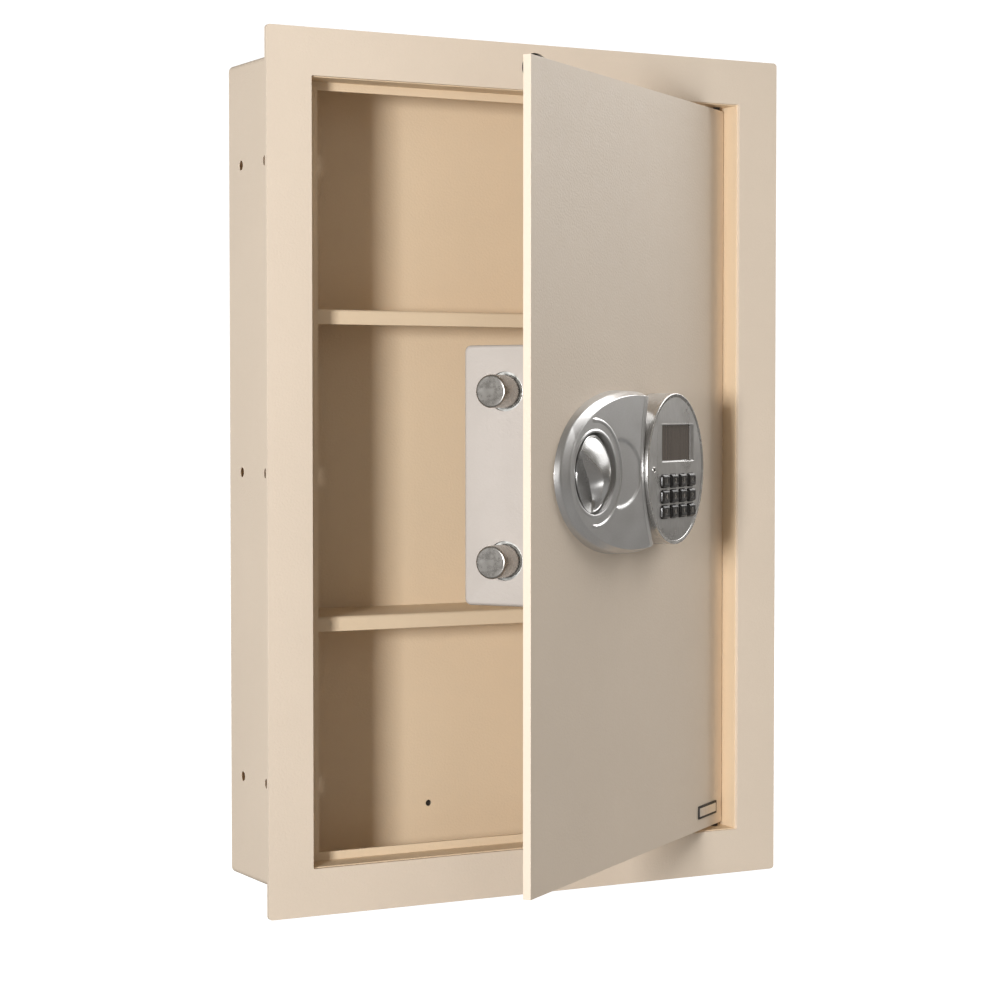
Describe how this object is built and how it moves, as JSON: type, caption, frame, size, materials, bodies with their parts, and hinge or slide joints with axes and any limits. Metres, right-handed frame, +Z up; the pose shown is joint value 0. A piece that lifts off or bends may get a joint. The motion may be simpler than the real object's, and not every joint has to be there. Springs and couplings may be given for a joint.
{
  "type": "wall safe",
  "caption": "Shallow steel box for between wall studs, with a trim flange, shelves and a hinged door that carries a turning knob, sliding bolts and a round keypad lock.",
  "frame": {"origin": "middle of the opening cut in the wall, in the plane of the wall's face, which is also the back face of the trim flange", "axes": "+Z up, +X to the right as seen from the room, +Y into the wall; the door is hinged on the +X side and opens towards -Y"},
  "size_m": [0.384, 0.2637, 0.562],
  "materials": {
    "cream_powder_coat": "cream powder coat with a fine orange-peel texture",
    "grey_white_paint": "smooth pale grey paint on sheet steel",
    "black_plastic": "black moulded plastic",
    "zinc_plate": "dull zinc plating",
    "ground_steel": "ground steel, smooth",
    "silver_cast": "satin silver over a metal casting",
    "bright_chrome": "polished",
    "display_glass": "clear window over a grey-brown display",
    "circuit_board": "green solder mask",
    "key_plastic": "black keys with pale digits",
    "cell_sleeve": "plain printed sleeve"
  },
  "bodies": {
    "frame": {"body_shell": "cream_powder_coat", "back_panel": "cream_powder_coat", "front_flange": "cream_powder_coat", "jamb_frame": "cream_powder_coat", "flange_hole_plug": "black_plastic", "bolt_keeper": "zinc_plate", "shelf_upper": "cream_powder_coat", "shelf_lower": "cream_powder_coat", "shelf_upper_bracket_left": "cream_powder_coat", "shelf_upper_bracket_right": "cream_powder_coat", "shelf_lower_bracket_left": "cream_powder_coat", "shelf_lower_bracket_right": "cream_powder_coat", "hinge_bushing_upper": "zinc_plate", "hinge_bushing_lower": "zinc_plate"},
    "door": {"door_plate": "cream_powder_coat", "hinge_block_upper": "cream_powder_coat", "hinge_block_lower": "cream_powder_coat", "hinge_pin_upper": "ground_steel", "hinge_pin_lower": "ground_steel", "nameplate": "ground_steel", "lock_base": "silver_cast", "keypad_housing": "silver_cast", "keypad_rim": "bright_chrome", "keypad_face": "silver_cast", "lcd_window": "display_glass", "keypad_board": "circuit_board", "status_led": "bright_chrome", "lock_cover": "grey_white_paint", "cover_screw_1": "zinc_plate", "cover_screw_2": "zinc_plate", "cover_screw_3": "zinc_plate", "cover_screw_4": "zinc_plate", "bolt_guide": "zinc_plate", "solenoid": "ground_steel", "plunger_spring": "ground_steel", "control_board": "circuit_board", "battery_holder": "black_plastic", "battery_1": "cell_sleeve", "battery_2": "cell_sleeve", "battery_3": "cell_sleeve", "battery_4": "cell_sleeve"},
    "knob_set": {"knob": "silver_cast", "knob_spindle": "ground_steel", "drive_cam": "zinc_plate"},
    "bolts": {"bolt_upper": "ground_steel", "bolt_lower": "ground_steel", "bolt_carriage": "zinc_plate"},
    "plunger": {"solenoid_plunger": "ground_steel"},
    "key_1_button": {"key_1": "key_plastic"},
    "key_2_button": {"key_2": "key_plastic"},
    "key_3_button": {"key_3": "key_plastic"},
    "key_left_button": {"key_left": "key_plastic"},
    "key_4_button": {"key_4": "key_plastic"},
    "key_5_button": {"key_5": "key_plastic"},
    "key_6_button": {"key_6": "key_plastic"},
    "key_right_button": {"key_right": "key_plastic"},
    "key_7_button": {"key_7": "key_plastic"},
    "key_8_button": {"key_8": "key_plastic"},
    "key_9_button": {"key_9": "key_plastic"},
    "key_0_button": {"key_0": "key_plastic"}
  },
  "joints": [
    {"name": "door_swing", "type": "hinge", "parent": "frame", "child": "door", "pos_m": [0.154, 0.0151, 0], "axis": [0, 0, 1], "range_deg": [-35.9, 59.1]},
    {"name": "knob_turn", "type": "hinge", "parent": "door", "child": "knob_set", "pos_m": [-0.0366, -0.12731, 0.0019], "axis": [0.5864, -0.81, 0], "range_deg": [0, 90]},
    {"name": "bolt_slide", "type": "slide", "parent": "door", "child": "bolts", "axis": [-0.81, -0.5864, 0], "range_m": [0, 0.0201]},
    {"name": "plunger_slide", "type": "slide", "parent": "door", "child": "plunger", "axis": [0.5864, -0.81, 0], "range_m": [0, 0.004], "stiffness_N_per_m": 20},
    {"name": "key_1_press", "type": "slide", "parent": "door", "child": "key_1_button", "axis": [-0.5864, 0.81, 0], "range_m": [0, 0.0012], "stiffness_N_per_m": 500},
    {"name": "key_2_press", "type": "slide", "parent": "door", "child": "key_2_button", "axis": [-0.5864, 0.81, 0], "range_m": [0, 0.0012], "stiffness_N_per_m": 500},
    {"name": "key_3_press", "type": "slide", "parent": "door", "child": "key_3_button", "axis": [-0.5864, 0.81, 0], "range_m": [0, 0.0012], "stiffness_N_per_m": 500},
    {"name": "key_left_press", "type": "slide", "parent": "door", "child": "key_left_button", "axis": [-0.5864, 0.81, 0], "range_m": [0, 0.0012], "stiffness_N_per_m": 500},
    {"name": "key_4_press", "type": "slide", "parent": "door", "child": "key_4_button", "axis": [-0.5864, 0.81, 0], "range_m": [0, 0.0012], "stiffness_N_per_m": 500},
    {"name": "key_5_press", "type": "slide", "parent": "door", "child": "key_5_button", "axis": [-0.5864, 0.81, 0], "range_m": [0, 0.0012], "stiffness_N_per_m": 500},
    {"name": "key_6_press", "type": "slide", "parent": "door", "child": "key_6_button", "axis": [-0.5864, 0.81, 0], "range_m": [0, 0.0012], "stiffness_N_per_m": 500},
    {"name": "key_right_press", "type": "slide", "parent": "door", "child": "key_right_button", "axis": [-0.5864, 0.81, 0], "range_m": [0, 0.0012], "stiffness_N_per_m": 500},
    {"name": "key_7_press", "type": "slide", "parent": "door", "child": "key_7_button", "axis": [-0.5864, 0.81, 0], "range_m": [0, 0.0012], "stiffness_N_per_m": 500},
    {"name": "key_8_press", "type": "slide", "parent": "door", "child": "key_8_button", "axis": [-0.5864, 0.81, 0], "range_m": [0, 0.0012], "stiffness_N_per_m": 500},
    {"name": "key_9_press", "type": "slide", "parent": "door", "child": "key_9_button", "axis": [-0.5864, 0.81, 0], "range_m": [0, 0.0012], "stiffness_N_per_m": 500},
    {"name": "key_0_press", "type": "slide", "parent": "door", "child": "key_0_button", "axis": [-0.5864, 0.81, 0], "range_m": [0, 0.0012], "stiffness_N_per_m": 500}
  ],
  "couplings": [
    {"joint": "bolt_slide", "follows": "knob_turn", "m_per_rad": 0.012732}
  ]
}
